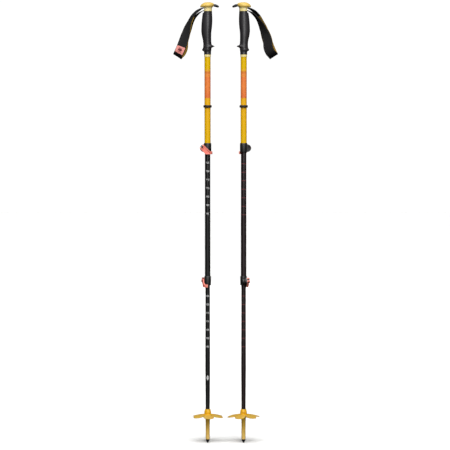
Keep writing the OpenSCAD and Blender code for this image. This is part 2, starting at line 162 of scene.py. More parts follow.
def skin(name, rings, finish, wrap=False, flat_coords=None):
    """A mesh through rings of points with equal counts, closed at both ends or joined end to start."""
    count = len(rings[0])
    rows = len(rings)
    faces = [(j * count + k, j * count + (k + 1) % count,
              (j + 1) % rows * count + (k + 1) % count, (j + 1) % rows * count + k)
             for j in range(rows if wrap else rows - 1) for k in range(count)]
    if not wrap:
        faces += [tuple(range(count))[::-1], tuple(range((rows - 1) * count, rows * count))]
    mesh = bpy.data.meshes.new(name)
    mesh.from_pydata([p for ring in rings for p in ring], [], faces)
    if flat_coords:
        cloth = mesh.uv_layers.new(name="cloth")
        for loop in mesh.loops:
            cloth.data[loop.index].uv = flat_coords[loop.vertex_index]
    whole = bmesh.new()
    whole.from_mesh(mesh)
    bmesh.ops.recalc_face_normals(whole, faces=whole.faces)
    whole.to_mesh(mesh)
    whole.free()
    mesh.polygons.foreach_set("use_smooth", [True] * len(mesh.polygons))
    mesh.set_sharp_from_angle(angle=math.radians(38))
    mesh.materials.append(finish)
    piece = bpy.data.objects.new(name, mesh)
    bpy.context.scene.collection.objects.link(piece)
    return piece


def smooth_rows(rows, steps):
    """Rows of numbers with smooth in-between rows, as a spline through them."""
    made = []
    for i in range(len(rows) - 1):
        a, b, c, d = (rows[max(0, min(len(rows) - 1, i + k))] for k in (-1, 0, 1, 2))
        for k in range(steps):
            t = k / steps
            made.append([q + 0.5 * t * (r - p + t * (2 * p - 5 * q + 4 * r - s + t * (3 * (q - r) + s - p)))
                         for p, q, r, s in zip(a, b, c, d)])
    return made + [list(rows[-1])]


def egg(back, front, side_reach, count):
    """An egg-shaped ring in the plane: its reach towards -X, towards +X and to both sides."""
    turns = [2 * math.pi * k / count for k in range(count)]
    return [((back if math.cos(a) < 0 else front) * math.cos(a), side_reach * math.sin(a)) for a in turns]


def dress(node, finish):
    """Gives a CAD node its finish."""
    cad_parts[node].material_slots[0].material = finish


# Polypropylene: waxy and satin, a little light goes into it, and the mould's fine spark texture
# leaves grains of about 0.5 mm, drawn at 2 mm so that they show. The cap and the core are one plastic
# in two copies: the cap's copy is darker, as painted shade against the strong top light, and the
# core's copy is paler, as painted light where the grip shades the core and the ferrule.
def polypropylene(name, dark, light):
    made, tree, shader = new_finish(name, {
        "IOR": 1.49, "Subsurface Weight": 0.08, "Subsurface Scale": 0.004,
        "Subsurface Radius": (1.0, 0.8, 0.4)})
    place = add(tree, "ShaderNodeTexCoord").outputs["Object"]
    grain = add(tree, "ShaderNodeTexNoise", {"Vector": place, "Scale": 500.0, "Detail": 4.0})
    cloud = add(tree, "ShaderNodeTexNoise", {"Vector": place, "Scale": 45.0, "Detail": 2.0})
    tint = add(tree, "ShaderNodeMix", {
        "Factor": cloud.outputs["Fac"], "A": linear(dark), "B": linear(light)}, data_type="RGBA")
    rough = add(tree, "ShaderNodeMapRange", {"Value": grain.outputs["Fac"], "To Min": 0.38, "To Max": 0.52})
    relief = add(tree, "ShaderNodeBump", {
        "Height": grain.outputs["Fac"], "Strength": 0.05, "Distance": 0.0002})
    tree.links.new(tint.outputs["Result"], shader.inputs["Base Color"])
    tree.links.new(rough.outputs["Result"], shader.inputs["Roughness"])
    tree.links.new(relief.outputs["Normal"], shader.inputs["Normal"])
    return made


# Two copies of one plastic: the core's copy is lit paler as painted light, and the cap's copy is shaded
# darker as painted shade.
lit_pale_pp = polypropylene("pale_polypropylene_painted_light", "#F2DC8E", "#FAE8A4")
shaded_cap_pp = polypropylene("cap_polypropylene_painted_shade", "#DCB858", "#E4C468")

# Rows of the cap: height above its underside, reach back, front and side, and lift at the beak.
cap_rows = smooth_rows([
    [0, 15.5, 14.2, 14.4, 0], [0.9, 19.2, 16.6, 15.6, 1.2], [2, 21.2, 18, 16.3, 2.2],
    [3.6, 21.5, 18.8, 16.5, 3], [5.8, 20.6, 18.8, 16.1, 3.4], [8, 18.8, 17.6, 14.9, 3.2],
    [10.2, 15.8, 15, 12.5, 2.6], [12.2, 11.6, 11.4, 9.2, 1.8], [13.6, 6.6, 6.6, 5.4, 1],
    [14.2, 1.5, 1.5, 1.4, 0.4]], 4)
CAP_FOOT = 1283.05
CAP_RISE = 1.0352
BRIM_DROOP = 1.2


def cap_height(x, up, lift):
    """The height of a place on the cap: the rows rise towards the beak, and the brim droops behind."""
    droop = BRIM_DROOP * (max(0, -8 - x) / 13) ** 2
    return CAP_FOOT + up * CAP_RISE + lift * (x + 20) / 40 - droop


for side in ("left", "right"):
    rings = [[put_at(side, x, y, cap_height(x, up, lift)) for x, y in egg(back, front, reach, 64)]
             for up, back, front, reach, lift in cap_rows]
    cap = skin(f"{side}_cap", rings, shaded_cap_pp)
    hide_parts(f"{side}_grip_cap")
    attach(cap, f"{side}_upper")
    dress(f"{side}_grip_core", lit_pale_pp)
    dress(f"{side}_grip_band", lit_pale_pp)

# ---- beak ----------------------------------------------------------------------------------------
# A hooked insert of black nylon is clipped into the cap's front, so that a boot's binding can be
# pressed open with it. It is moulded, with a fine matt texture.
# Glass-filled nylon: nearly black, satin, with pale fibre ends under 1 mm drawn at 3 mm.
black_nylon, tree, shader = new_finish("glass_filled_nylon", {"IOR": 1.53})
place = add(tree, "ShaderNodeTexCoord").outputs["Object"]
fibre = add(tree, "ShaderNodeTexNoise", {"Vector": place, "Scale": 330.0, "Detail": 5.0, "Roughness": 0.7})
tint = add(tree, "ShaderNodeMix", {
    "Factor": fibre.outputs["Fac"], "A": linear("#0D0E0E"), "B": linear("#1C1D1D")}, data_type="RGBA")
rough = add(tree, "ShaderNodeMapRange", {"Value": fibre.outputs["Fac"], "To Min": 0.36, "To Max": 0.58})
relief = add(tree, "ShaderNodeBump", {"Height": fibre.outputs["Fac"], "Strength": 0.2, "Distance": 0.0003})
tree.links.new(tint.outputs["Result"], shader.inputs["Base Color"])
tree.links.new(rough.outputs["Result"], shader.inputs["Roughness"])
tree.links.new(relief.outputs["Normal"], shader.inputs["Normal"])

# Rows of the beak from the cap outwards: place forwards, height, half thickness and half width.
beak_rows = smooth_rows([
    [18.2, 1288.6, 4.1, 4.6], [20, 1288.6, 4, 4.4], [22.5, 1288.3, 3.8, 4], [25.5, 1287.3, 3.5, 3.6],
    [28.5, 1286.1, 3.2, 3.2], [31.2, 1285, 2.6, 2.6], [32.8, 1284.3, 1.6, 1.7], [33.4, 1284, 0.5, 0.6]], 4)
beak_turns = [2 * math.pi * k / 32 for k in range(32)]
for side in ("left", "right"):
    rings = []
    for x, z, thick, wide in beak_rows:
        # the rows lean more and more forwards as the beak hooks down
        lean = 0.5 * min(1, (x - 18) / 6) * thick
        rings.append([put_at(side, x + lean * math.sin(a), wide * math.cos(a), z + thick * math.sin(a))
                      for a in beak_turns])
    beak = skin(f"{side}_beak", rings, black_nylon)
    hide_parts(f"{side}_grip_beak")
    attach(beak, f"{side}_upper")

# ---- rubber grip ---------------------------------------------------------------------------------
# The hand grip is a sleeve of soft rubber, moulded over the core, with a palm swell, a finger shelf
# in front and a thumb ledge behind. Its top has a notch that the strap comes out of.
# Rubber: dark grey and dull, with a fine sand texture of 0.5 mm drawn at 2.5 mm, and paler where
# hands rub it.
grip_rubber, tree, shader = new_finish("moulded_rubber", {"IOR": 1.52, "Specular IOR Level": 0.8})
place = add(tree, "ShaderNodeTexCoord").outputs["Object"]
sand = add(tree, "ShaderNodeTexVoronoi", {"Vector": place, "Scale": 420.0})
rubbed = add(tree, "ShaderNodeTexNoise", {"Vector": place, "Scale": 40.0, "Detail": 3.0})
tint = add(tree, "ShaderNodeMix", {
    "Factor": rubbed.outputs["Fac"], "A": linear("#1F1E20"), "B": linear("#322F33")}, data_type="RGBA")
rough = add(tree, "ShaderNodeMapRange", {"Value": rubbed.outputs["Fac"], "To Min": 0.5, "To Max": 0.36})
relief = add(tree, "ShaderNodeBump", {
    "Height": sand.outputs["Distance"], "Strength": 0.2, "Distance": 0.0003})
tree.links.new(tint.outputs["Result"], shader.inputs["Base Color"])
tree.links.new(rough.outputs["Result"], shader.inputs["Roughness"])
tree.links.new(relief.outputs["Normal"], shader.inputs["Normal"])

# Rows of the grip: height above its underside, reach back, front and side.
grip_rows = smooth_rows([
    [0, 10.4, 10.4, 10.4], [8, 10.5, 10.4, 10.5], [10.5, 14.2, 10.8, 11.4], [13.5, 16.2, 11.2, 12.2],
    [16.5, 14.6, 11.4, 12.4], [19, 13.4, 12.2, 12.6], [21.3, 13, 16.2, 12.8], [23.2, 12.8, 20.4, 12.8],
    [25, 12.7, 19.6, 12.6], [27.2, 12.6, 14.4, 12.5], [30, 12.5, 12, 12.4], [36, 13, 11.2, 12.6],
    [43, 14, 10.9, 12.9], [54.5, 16.6, 10.9, 13.6], [66.5, 18.2, 11.4, 14.2], [77.5, 18.2, 12.8, 14.5],
    [89.5, 17.6, 13.8, 14.5], [101.5, 16.6, 14.2, 14.2], [114.5, 15, 13.8, 13.6],
    [126.4, 13.5, 13.2, 13.2]], 6)
GRIP_FOOT = 1145.5
GRIP_TOP = 1271.9
# The bore is wide down to the core's foot, and fits the tube below it.
CORE_FOOT = 1161
CORE_BORE = 10.3
TUBE_BORE = 9.1
BORE = ((CORE_BORE, GRIP_TOP), (CORE_BORE, CORE_FOOT), (TUBE_BORE, CORE_FOOT), (TUBE_BORE, GRIP_FOOT))
# The notch's reach along, across and up.
NOTCH = ((-30, 0.4), (-8.2, 8.2), (1267.2, 1290))
BLOCK_FACES = [(0, 1, 3, 2), (4, 6, 7, 5), (0, 4, 5, 1), (2, 3, 7, 6), (0, 2, 6, 4), (1, 5, 7, 3)]
for side in ("left", "right"):
    rings = [[put_at(side, x, y, GRIP_FOOT + up) for x, y in egg(back, front, reach, 72)]
             for up, back, front, reach in grip_rows]
    for radius, height in BORE:
        rings.append([put_at(side, x, y, height) for x, y in egg(radius, radius, radius, 72)])
    grip = skin(f"{side}_rubber_grip", rings, grip_rubber, wrap=True)
    notch_mesh = bpy.data.meshes.new("notch")
    corners = [put_at(side, x, y, z) for x in NOTCH[0] for y in NOTCH[1] for z in NOTCH[2]]
    notch_mesh.from_pydata(corners, [], BLOCK_FACES)
    notch = bpy.data.objects.new("notch", notch_mesh)
    bpy.context.scene.collection.objects.link(notch)
    bite = grip.modifiers.new("notch", "BOOLEAN")
    bite.object = notch
    bite.solver = "EXACT"
    with bpy.context.temp_override(object=grip):
        bpy.ops.object.modifier_apply(modifier="notch")
    bpy.data.objects.remove(notch)
    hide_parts(f"{side}_grip_rubber")
    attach(grip, f"{side}_upper")

# ---- wrist strap: webbing ------------------------------------------------------------------------
# One loop of woven nylon webbing, 15 mm wide at the pin and 28 mm round the hand. It is turned round
# the cross pin in the neck, and its own stiffness holds it in its twisted loop.
# Points of the loop's middle line from the pin down the front leg and back up: x, y, z, turn of the
# band from edge-on, droop of its free edge, and width.
strap_rows = [
    [-4.5, 0, 1279.6, 0, 53, 15], [-10, 0, 1279.9, 0, 55, 15], [-17, 0, 1278.4, 12, 58, 15.2],
    [-25, 0, 1274, 22, 56, 16.5], [-33.5, -0.5, 1268, 24, 50, 18], [-43.8, -2, 1256, 25, 38, 20.5],
    [-51.5, -4, 1240.8, 31, 28, 22.5], [-58.2, -7, 1223.5, 47, 22, 25], [-62.9, -10, 1206.3, 61, 18, 27],
    [-69.3, -12.5, 1187, 71, 18, 28], [-76, -14.5, 1167.6, 75, 21, 28.4],
    [-82.5, -15.5, 1152.5, 76, 26, 28.4], [-86.4, -11, 1144.2, 76, 31, 28.4],
    [-87.8, 0, 1140.5, 76, 33, 28.4], [-83.8, 11, 1145, 76, 33, 28.4], [-77, 15.8, 1152.5, 76, 31, 28.4],
    [-71.8, 16, 1165.5, 76, 26, 28.4], [-70, 15, 1184, 73, 20, 28], [-64.6, 12.5, 1203, 64, 18, 27],
    [-56.4, 9.5, 1221, 49, 22, 25], [-50, 7, 1234.5, 36, 27, 23], [-43.8, 4.6, 1245.5, 26, 35, 21],
    [-37, 2.4, 1255.5, 20, 42, 19], [-28.5, 0.8, 1264.4, 17, 50, 17], [-20.5, 0, 1270, 8, 55, 15.6],
    [-13, 0, 1274, 0, 60, 15], [-4.5, 0, 1276.4, 0, 60, 15]]
STRAP_STEPS = 10
PIN = Vector((-4.5, 0, 1278))
PIN_RADIUS = 1.6
PIN_WIDTH = 15
strap_line = smooth_rows(strap_rows, STRAP_STEPS)


def strap_frame(station):
    """At a station: the middle line's point, the directions across and out of the band, and its width."""
    i = max(1, min(len(strap_line) - 2, station))
    here, before, after = strap_line[station], strap_line[i - 1], strap_line[i + 1]
    along = (Vector(after[:3]) - Vector(before[:3])).normalized()
    turn, droop = math.radians(here[3]), math.radians(here[4])
    lean = Vector((math.sin(turn) * math.cos(droop), -math.cos(turn), -math.sin(turn) * math.sin(droop)))
    across = (lean - lean.dot(along) * along).normalized()
    return Vector(here[:3]), across, along.cross(across), here[5]


strap_run = [0.0]
for here, after in zip(strap_line, strap_line[1:]):
    strap_run.append(strap_run[-1] + (Vector(after[:3]) - Vector(here[:3])).length)


def band(name, side, first, last, inner, outer, hem, finish, round_pin=False):
    """A stretch of flat band with rounded edges, from one depth to another, outwards being positive."""
    middle, half_depth = (inner + outer) / 2, (outer - inner) / 2
    # The section, point by point: shares of its flat half width, of its round edge and of its half depth.
    corner = [(1, 1, 0), (1, 1, 0.6123), (1, 0.75, 1), (0.5, 0, 1), (0, 0, 1)]
    half = corner + [(-flat, -edge, deep) for flat, edge, deep in corner[-2::-1]]
    section = half + [(flat, edge, -deep) for flat, edge, deep in half[-2:0:-1]]
    stations = [(*strap_frame(s), strap_run[s])
                for s in range(round(first * STRAP_STEPS), round(last * STRAP_STEPS) + 1)]
    if round_pin:
        for k in range(1, 8):
            a = math.radians(-90 + 180 * k / 8)
            outwards = Vector((math.cos(a), 0, math.sin(a)))
            stations.append((PIN + PIN_RADIUS * outwards, Vector((0, -1, 0)), outwards, PIN_WIDTH,
                             strap_run[-1] + math.pi * PIN_RADIUS * k / 8))
    rings, coords = [], []
    for point, across, outwards, width, run in stations:
        ring = []
        for flat, edge, deep in section:
            reach = flat * (width / 2 - hem - half_depth) + edge * half_depth
            ring.append(put_at(side, *(point + across * reach + outwards * (middle + deep * half_depth))))
            coords.append((run / 1000, reach / 1000))
        rings.append(ring)
    return skin(name, rings, finish, wrap=round_pin, flat_coords=coords)


# Nylon webbing: black, with a dull silk sheen. Its rows stand 1.2 mm apart along the strap, drawn at
# 2.4 mm so that they show, and the herringbone turns in the middle of its width.
webbing, tree, shader = new_finish("woven_nylon", {
    "IOR": 1.53, "Roughness": 0.72, "Specular IOR Level": 0.3,
    "Sheen Weight": 0.06, "Sheen Roughness": 0.4, "Sheen Tint": linear("#6A6A70")})
ROW_PITCH = 0.0024
CORD_PITCH = 0.0016
cloth = add(tree, "ShaderNodeUVMap", uv_map="cloth").outputs["UV"]
parts = add(tree, "ShaderNodeSeparateXYZ", {"Vector": cloth})
fold = add(tree, "ShaderNodeMath", {0: parts.outputs["Y"]}, operation="ABSOLUTE")
slant = add(tree, "ShaderNodeMath", {0: parts.outputs["X"], 1: fold.outputs[0]}, operation="ADD")
rows = add(tree, "ShaderNodeMath", {0: slant.outputs[0], 1: 2 * math.pi / ROW_PITCH}, operation="MULTIPLY")
ridge = add(tree, "ShaderNodeMath", {0: rows.outputs[0]}, operation="SINE")
cords = add(tree, "ShaderNodeMath", {
    0: parts.outputs["Y"], 1: 2 * math.pi / CORD_PITCH}, operation="MULTIPLY")
cord_wave = add(tree, "ShaderNodeMath", {0: cords.outputs[0]}, operation="COSINE")
weave = add(tree, "ShaderNodeMath", {
    0: ridge.outputs[0], 1: 0.5, 2: cord_wave.outputs[0]}, operation="MULTIPLY_ADD")
shade = add(tree, "ShaderNodeMapRange", {"Value": weave.outputs[0], "From Min": -1.5, "From Max": 1.5})
tint = add(tree, "ShaderNodeMix", {
    "Factor": shade.outputs["Result"], "A": linear("#070707"), "B": linear("#1B1A1C")}, data_type="RGBA")
relief = add(tree, "ShaderNodeBump", {
    "Height": shade.outputs["Result"], "Strength": 0.6, "Distance": 0.0004})
tree.links.new(tint.outputs["Result"], shader.inputs["Base Color"])
tree.links.new(relief.outputs["Normal"], shader.inputs["Normal"])

for side in ("left", "right"):
    strap = band(f"{side}_webbing", side, 0, 26, 0, 2, 0, webbing, round_pin=True)
    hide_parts(f"{side}_strap")
    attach(strap, f"{side}_strap")

# ---- wrist strap: lining -------------------------------------------------------------------------
# A strip of brushed fleece is sewn to the inside of the loop where it lies on the wrist. It is dyed
# ochre yellow, and its cut edge shows beside the webbing.
# Brushed polyester: very dull, with a soft nap of 1 mm tufts, drawn at 3 mm.
fleece, tree, shader = new_finish("brushed_polyester", {
    "IOR": 1.5, "Roughness": 0.95,
    "Sheen Weight": 0.25, "Sheen Roughness": 0.5, "Sheen Tint": linear("#E0C878")})
place = add(tree, "ShaderNodeTexCoord").outputs["Object"]
tufts = add(tree, "ShaderNodeTexNoise", {"Vector": place, "Scale": 330.0, "Detail": 6.0, "Roughness": 0.65})
tint = add(tree, "ShaderNodeMix", {
    "Factor": tufts.outputs["Fac"], "A": linear("#8A6A16"), "B": linear("#B8922E")}, data_type="RGBA")
relief = add(tree, "ShaderNodeBump", {"Height": tufts.outputs["Fac"], "Strength": 0.8, "Distance": 0.0006})
tree.links.new(tint.outputs["Result"], shader.inputs["Base Color"])
tree.links.new(relief.outputs["Normal"], shader.inputs["Normal"])

# The lining's first and last row of the strap.
LINED = (5, 19)
for side in ("left", "right"):
    lining = band(f"{side}_lining", side, *LINED, -1.3, -0.02, -0.5, fleece)
    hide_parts(f"{side}_strap_lining")
    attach(lining, f"{side}_strap")

# ---- wrist strap: seams --------------------------------------------------------------------------
# Two rows of lock stitches in black polyester thread hold the lining, each stitch 3.2 mm long with a
# gap of 0.8 mm, 2.6 mm in from the webbing's edges.
# Polyester thread: a little shinier than the webbing, with a twist too fine to draw but for its tint.
thread, tree, shader = new_finish("polyester_thread", {"IOR": 1.57, "Roughness": 0.5, "Sheen Weight": 0.2})
place = add(tree, "ShaderNodeTexCoord").outputs["Object"]
twist = add(tree, "ShaderNodeTexNoise", {"Vector": place, "Scale": 900.0})
tint = add(tree, "ShaderNodeMix", {
    "Factor": twist.outputs["Fac"], "A": linear("#161618"), "B": linear("#303034")}, data_type="RGBA")
tree.links.new(tint.outputs["Result"], shader.inputs["Base Color"])

STITCH = 3.2
STITCH_GAP = 0.8
SEAM_INSET = 2.6
THREAD_RADIUS = 0.3
# How far out of the strap the thread lies at each quarter of a stitch.
STITCH_DEPTHS = (1.9, 2.28, 2.34, 2.28, 1.9)


def strap_place(run):
    """At a distance along the strap: its middle, the directions across and out of it, and its width."""
    s = next(k for k, r in enumerate(strap_run) if r >= run)
    t = (run - strap_run[s - 1]) / (strap_run[s] - strap_run[s - 1])
    low, high = strap_frame(s - 1), strap_frame(s)
    point, across, outwards = (low[k].lerp(high[k], t) for k in range(3))
    return point, across, outwards, low[3] + t * (high[3] - low[3])


for side in ("left", "right"):
    points, faces = [], []
    for edge in (-1, 1):
        run = strap_run[LINED[0] * STRAP_STEPS] + 3
        while run + STITCH < strap_run[LINED[1] * STRAP_STEPS] - 3:
            base = len(points)
            for k, depth in enumerate(STITCH_DEPTHS):
                point, across, outwards, width = strap_place(run + STITCH * k / 4)
                centre = point + across * edge * (width / 2 - SEAM_INSET) + outwards * depth
                for a in [math.pi * turn / 3 for turn in range(6)]:
                    spoke = across * math.cos(a) + outwards * math.sin(a)
                    points.append(put_at(side, *(centre + THREAD_RADIUS * spoke)))
            for ring in range(base, base + 24, 6):
                faces += [(ring + a, ring + (a + 1) % 6, ring + 6 + (a + 1) % 6, ring + 6 + a)
                          for a in range(6)]
            faces += [tuple(base + a for a in range(6))[::-1], tuple(base + 24 + a for a in range(6))]
            run += STITCH + STITCH_GAP
    seam_mesh = bpy.data.meshes.new(f"{side}_seams")
    seam_mesh.from_pydata(points, [], faces)
    seam_mesh.polygons.foreach_set("use_smooth", [True] * len(seam_mesh.polygons))
    seam_mesh.materials.append(thread)
    seams = bpy.data.objects.new(f"{side}_seams", seam_mesh)
    bpy.context.scene.collection.objects.link(seams)
    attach(seams, f"{side}_strap")

# ---- wrist strap: patch --------------------------------------------------------------------------
# A soft label of coral silicone is welded to the front leg, low down, with a raised rim. Its mark is
# a plain oval between two bars.
# Silicone: satin, slightly see-through at its edges, with fine dust on it.
silicone, tree, shader = new_finish("coral_silicone", {
    "IOR": 1.41, "Subsurface Weight": 0.15, "Subsurface Scale": 0.002,
    "Subsurface Radius": (1.0, 0.5, 0.4)})
place = add(tree, "ShaderNodeTexCoord").outputs["Object"]
dust = add(tree, "ShaderNodeTexNoise", {"Vector": place, "Scale": 260.0, "Detail": 4.0})
tint = add(tree, "ShaderNodeMix", {
    "Factor": dust.outputs["Fac"], "A": linear("#E08A82"), "B": linear("#EC9E96")}, data_type="RGBA")
rough = add(tree, "ShaderNodeMapRange", {"Value": dust.outputs["Fac"], "To Min": 0.4, "To Max": 0.6})
tree.links.new(tint.outputs["Result"], shader.inputs["Base Color"])
tree.links.new(rough.outputs["Result"], shader.inputs["Roughness"])

# The mark is printed in dark red ink, thick enough to feel.
red_ink, tree, shader = new_finish("red_screen_ink", {"IOR": 1.5, "Roughness": 0.55})
place = add(tree, "ShaderNodeTexCoord").outputs["Object"]
speck = add(tree, "ShaderNodeTexNoise", {"Vector": place, "Scale": 600.0})
tint = add(tree, "ShaderNodeMix", {
    "Factor": speck.outputs["Fac"], "A": linear("#5A1014"), "B": linear("#741A1E")}, data_type="RGBA")
tree.links.new(tint.outputs["Result"], shader.inputs["Base Color"])

# The patch's first and last row of the strap.
PATCHED = (10, 11.3)
for side in ("left", "right"):
    patch = band(f"{side}_patch", side, *PATCHED, 2.02, 2.9, 1.4, silicone)
    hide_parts(f"{side}_strap_patch")
    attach(patch, f"{side}_strap")

# The mark stands on the patch as a thin raised print: a solid oval between two bars.
def join_shapes(name, shapes, finish):
    """One object from several lists of points and faces."""
    points, faces = [], []
    for some_points, some_faces in shapes:
        faces += [tuple(len(points) + k for k in face) for face in some_faces]
        points += some_points
    mesh = bpy.data.meshes.new(name)
    mesh.from_pydata(points, [], faces)
    mesh.polygons.foreach_set("use_smooth", [True] * len(mesh.polygons))
    mesh.set_sharp_from_angle(angle=math.radians(38))
    mesh.materials.append(finish)
    piece = bpy.data.objects.new(name, mesh)
    bpy.context.scene.collection.objects.link(piece)
    return piece


def raised_shape(side, outline, spot):
    """A thin raised shape with a rounded rim, from its outline and a function that lays it on a surface."""
    count = len(outline)
    points = [put_at(side, *spot(u * share, v * share, depth))
              for share, depth in ((1, 2.85), (1, 3.02), (0.9, 3.08), (0, 3.08)) for u, v in outline]
    faces = [(ring * count + k, ring * count + (k + 1) % count, (ring + 1) * count + (k + 1) % count,
              (ring + 1) * count + k) for ring in range(3) for k in range(count)]
    return points, faces


def on_patch(u, v, depth):
    """A place on the patch: u along the strap and v across it, in millimetres from the patch's middle."""
    start, end = (strap_run[round(row * STRAP_STEPS)] for row in PATCHED)
    point, across, outwards, _ = strap_place((start + end) / 2 + u)
    return point + across * v + outwards * depth


def rounded(half_wide, half_long, power):
    """An outline in the plane: an oval for a power of 1, and nearer a rectangle for a smaller one."""
    turns = [2 * math.pi * k / 32 for k in range(32)]
    return [(half_wide * math.copysign(abs(math.cos(a)) ** power, math.cos(a)),
             half_long * math.copysign(abs(math.sin(a)) ** power, math.sin(a))) for a in turns]


oval = rounded(3.9, 6.6, 1)
bar = rounded(0.55, 6.5, 0.4)
BAR_SHIFT = 5.4
for side in ("left", "right"):
    shapes = []
    for outline, centre in ((oval, 0), (bar, -BAR_SHIFT), (bar, BAR_SHIFT)):
        shapes.append(raised_shape(side, outline,
                                   lambda u, v, depth, centre=centre: on_patch(u + centre, v, depth)))
    mark = join_shapes(f"{side}_patch_mark", shapes, red_ink)
    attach(mark, f"{side}_strap")

# ---- tubes ---------------------------------------------------------------------------------------
# Three drawn aluminium tubes, 18, 16 and 14 mm, with a 0.6 mm wall. The upper one is sprayed yellow,
# with a coral band under the grip. The other two are anodised black and carry the length marks.
# Stoving enamel: smooth and glossy, with a faint orange peel of 2 mm waves.
enamel, tree, shader = new_finish("stoved_enamel", {
    "IOR": 1.5, "Roughness": 0.36, "Specular IOR Level": 0.2})
place = add(tree, "ShaderNodeTexCoord").outputs["Object"]
height = add(tree, "ShaderNodeSeparateXYZ", {"Vector": place}).outputs["Z"]
# Heights of the paint's colours up the tube, in metres.
PAINT = (
    (0.86, "#E3B600"), (1.0160, "#ECAF1A"), (1.0196, "#E2733E"), (1.0330, "#E87E40"), (1.0550, "#EE8640"),
    (1.0795, "#EB7F42"), (1.0800, "#F6A04C"), (1.0822, "#E07A30"), (1.0850, "#F59E4A"),
    (1.0872, "#E98844"), (1.0940, "#D97E33"), (1.0990, "#ECAF2C"), (1.1060, "#E3B600"))
PAINT_LOW = 0.86
PAINT_HIGH = 1.14
share = add(tree, "ShaderNodeMapRange", {"Value": height, "From Min": PAINT_LOW, "From Max": PAINT_HIGH})
paint = add(tree, "ShaderNodeValToRGB", {"Fac": share.outputs["Result"]})
while len(paint.color_ramp.elements) < len(PAINT):
    paint.color_ramp.elements.new(0.5)
for stop, (level, colour) in zip(paint.color_ramp.elements, PAINT):
    stop.position = (level - PAINT_LOW) / (PAINT_HIGH - PAINT_LOW)
    stop.color = linear(colour)
peel = add(tree, "ShaderNodeTexNoise", {"Vector": place, "Scale": 500.0, "Detail": 1.0})
relief = add(tree, "ShaderNodeBump", {"Height": peel.outputs["Fac"], "Strength": 0.03, "Distance": 0.0002})
tree.links.new(paint.outputs["Color"], shader.inputs["Base Color"])
tree.links.new(relief.outputs["Normal"], shader.inputs["Normal"])

# Black anodised aluminium: a dyed skin on drawn metal, satin, with fine draw lines along the tube
# that are drawn 1.5 mm apart. Dull red rings are printed on its back, one every 25 mm.
anodised, tree, shader = new_finish("black_anodised_aluminium", {"IOR": 1.6, "Specular IOR Level": 0.38})
place = add(tree, "ShaderNodeTexCoord").outputs["Object"]
stretch = add(tree, "ShaderNodeMapping", {"Vector": place, "Scale": (1.0, 1.0, 0.02)})
lines = add(tree, "ShaderNodeTexNoise", {
    "Vector": stretch.outputs["Vector"], "Scale": 700.0, "Detail": 3.0})
rough = add(tree, "ShaderNodeMapRange", {"Value": lines.outputs["Fac"], "To Min": 0.3, "To Max": 0.44})
skin_tint = add(tree, "ShaderNodeMix", {
    "Factor": lines.outputs["Fac"], "A": linear("#0E0E0F"), "B": linear("#1B1B1C")}, data_type="RGBA")
axes = add(tree, "ShaderNodeSeparateXYZ", {"Vector": place})
pole_sign = add(tree, "ShaderNodeMath", {0: axes.outputs["X"]}, operation="SIGN")
behind = add(tree, "ShaderNodeMath", {0: axes.outputs["Y"], 1: pole_sign.outputs[0]}, operation="MULTIPLY")
on_back = add(tree, "ShaderNodeMath", {0: behind.outputs[0], 1: -0.002}, operation="LESS_THAN")
RING_STEP = 0.025
RING_COUNT = 7
RING_HALF_WIDTH = 0.0009
spans = []
for lowest in (0.6754, 0.2857):
    low_end, high_end = lowest - RING_STEP / 2, lowest + (RING_COUNT - 0.5) * RING_STEP
    above = add(tree, "ShaderNodeMath", {0: axes.outputs["Z"], 1: low_end}, operation="GREATER_THAN")
    below = add(tree, "ShaderNodeMath", {0: axes.outputs["Z"], 1: high_end}, operation="LESS_THAN")
    within = add(tree, "ShaderNodeMath", {0: above.outputs[0], 1: below.outputs[0]}, operation="MULTIPLY")
    climb = add(tree, "ShaderNodeMath", {0: axes.outputs["Z"], 1: -low_end}, operation="ADD")
    along = add(tree, "ShaderNodeMath", {0: climb.outputs[0], 1: RING_STEP}, operation="FLOORED_MODULO")
    on_ring = add(tree, "ShaderNodeMath", {0: along.outputs[0], 1: RING_STEP / 2, 2: RING_HALF_WIDTH},
                  operation="COMPARE")
    span = add(tree, "ShaderNodeMath", {0: within.outputs[0], 1: on_ring.outputs[0]}, operation="MULTIPLY")
    spans.append(span.outputs[0])
either = add(tree, "ShaderNodeMath", {0: spans[0], 1: spans[1]}, operation="ADD")
ringed = add(tree, "ShaderNodeMath", {0: either.outputs[0], 1: on_back.outputs[0]}, operation="MULTIPLY")
back_tint = add(tree, "ShaderNodeMix", {
    "Factor": on_back.outputs[0], "A": skin_tint.outputs["Result"], "B": linear("#1E1315")},
    data_type="RGBA")
tint = add(tree, "ShaderNodeMix", {
    "Factor": ringed.outputs[0], "A": back_tint.outputs["Result"], "B": linear("#6A3438")},
    data_type="RGBA")
tree.links.new(tint.outputs["Result"], shader.inputs["Base Color"])
tree.links.new(rough.outputs["Result"], shader.inputs["Roughness"])

for side in ("left", "right"):
    dress(f"{side}_upper_tube", enamel)
    dress(f"{side}_middle_tube", anodised)
    dress(f"{side}_lower_tube", anodised)

# ---- length marks --------------------------------------------------------------------------------
# The numbers of the length scale and a rhombus above the basket are screen printed on the fronts of
# the two black sections in pale grey ink, which stands a little proud of the metal.
# Epoxy ink: matt, and slightly uneven in its grey.
pale_ink, tree, shader = new_finish("pale_epoxy_ink", {"IOR": 1.5, "Roughness": 0.6})
place = add(tree, "ShaderNodeTexCoord").outputs["Object"]
wear_and_rim_highlight = add(tree, "ShaderNodeTexNoise", {"Vector": place, "Scale": 350.0, "Detail": 4.0})
tint = add(tree, "ShaderNodeMix", {
    "Factor": wear_and_rim_highlight.outputs["Fac"], "A": linear("#B4B4B4"), "B": linear("#E6E6E6")}, data_type="RGBA")
tree.links.new(tint.outputs["Result"], shader.inputs["Base Color"])

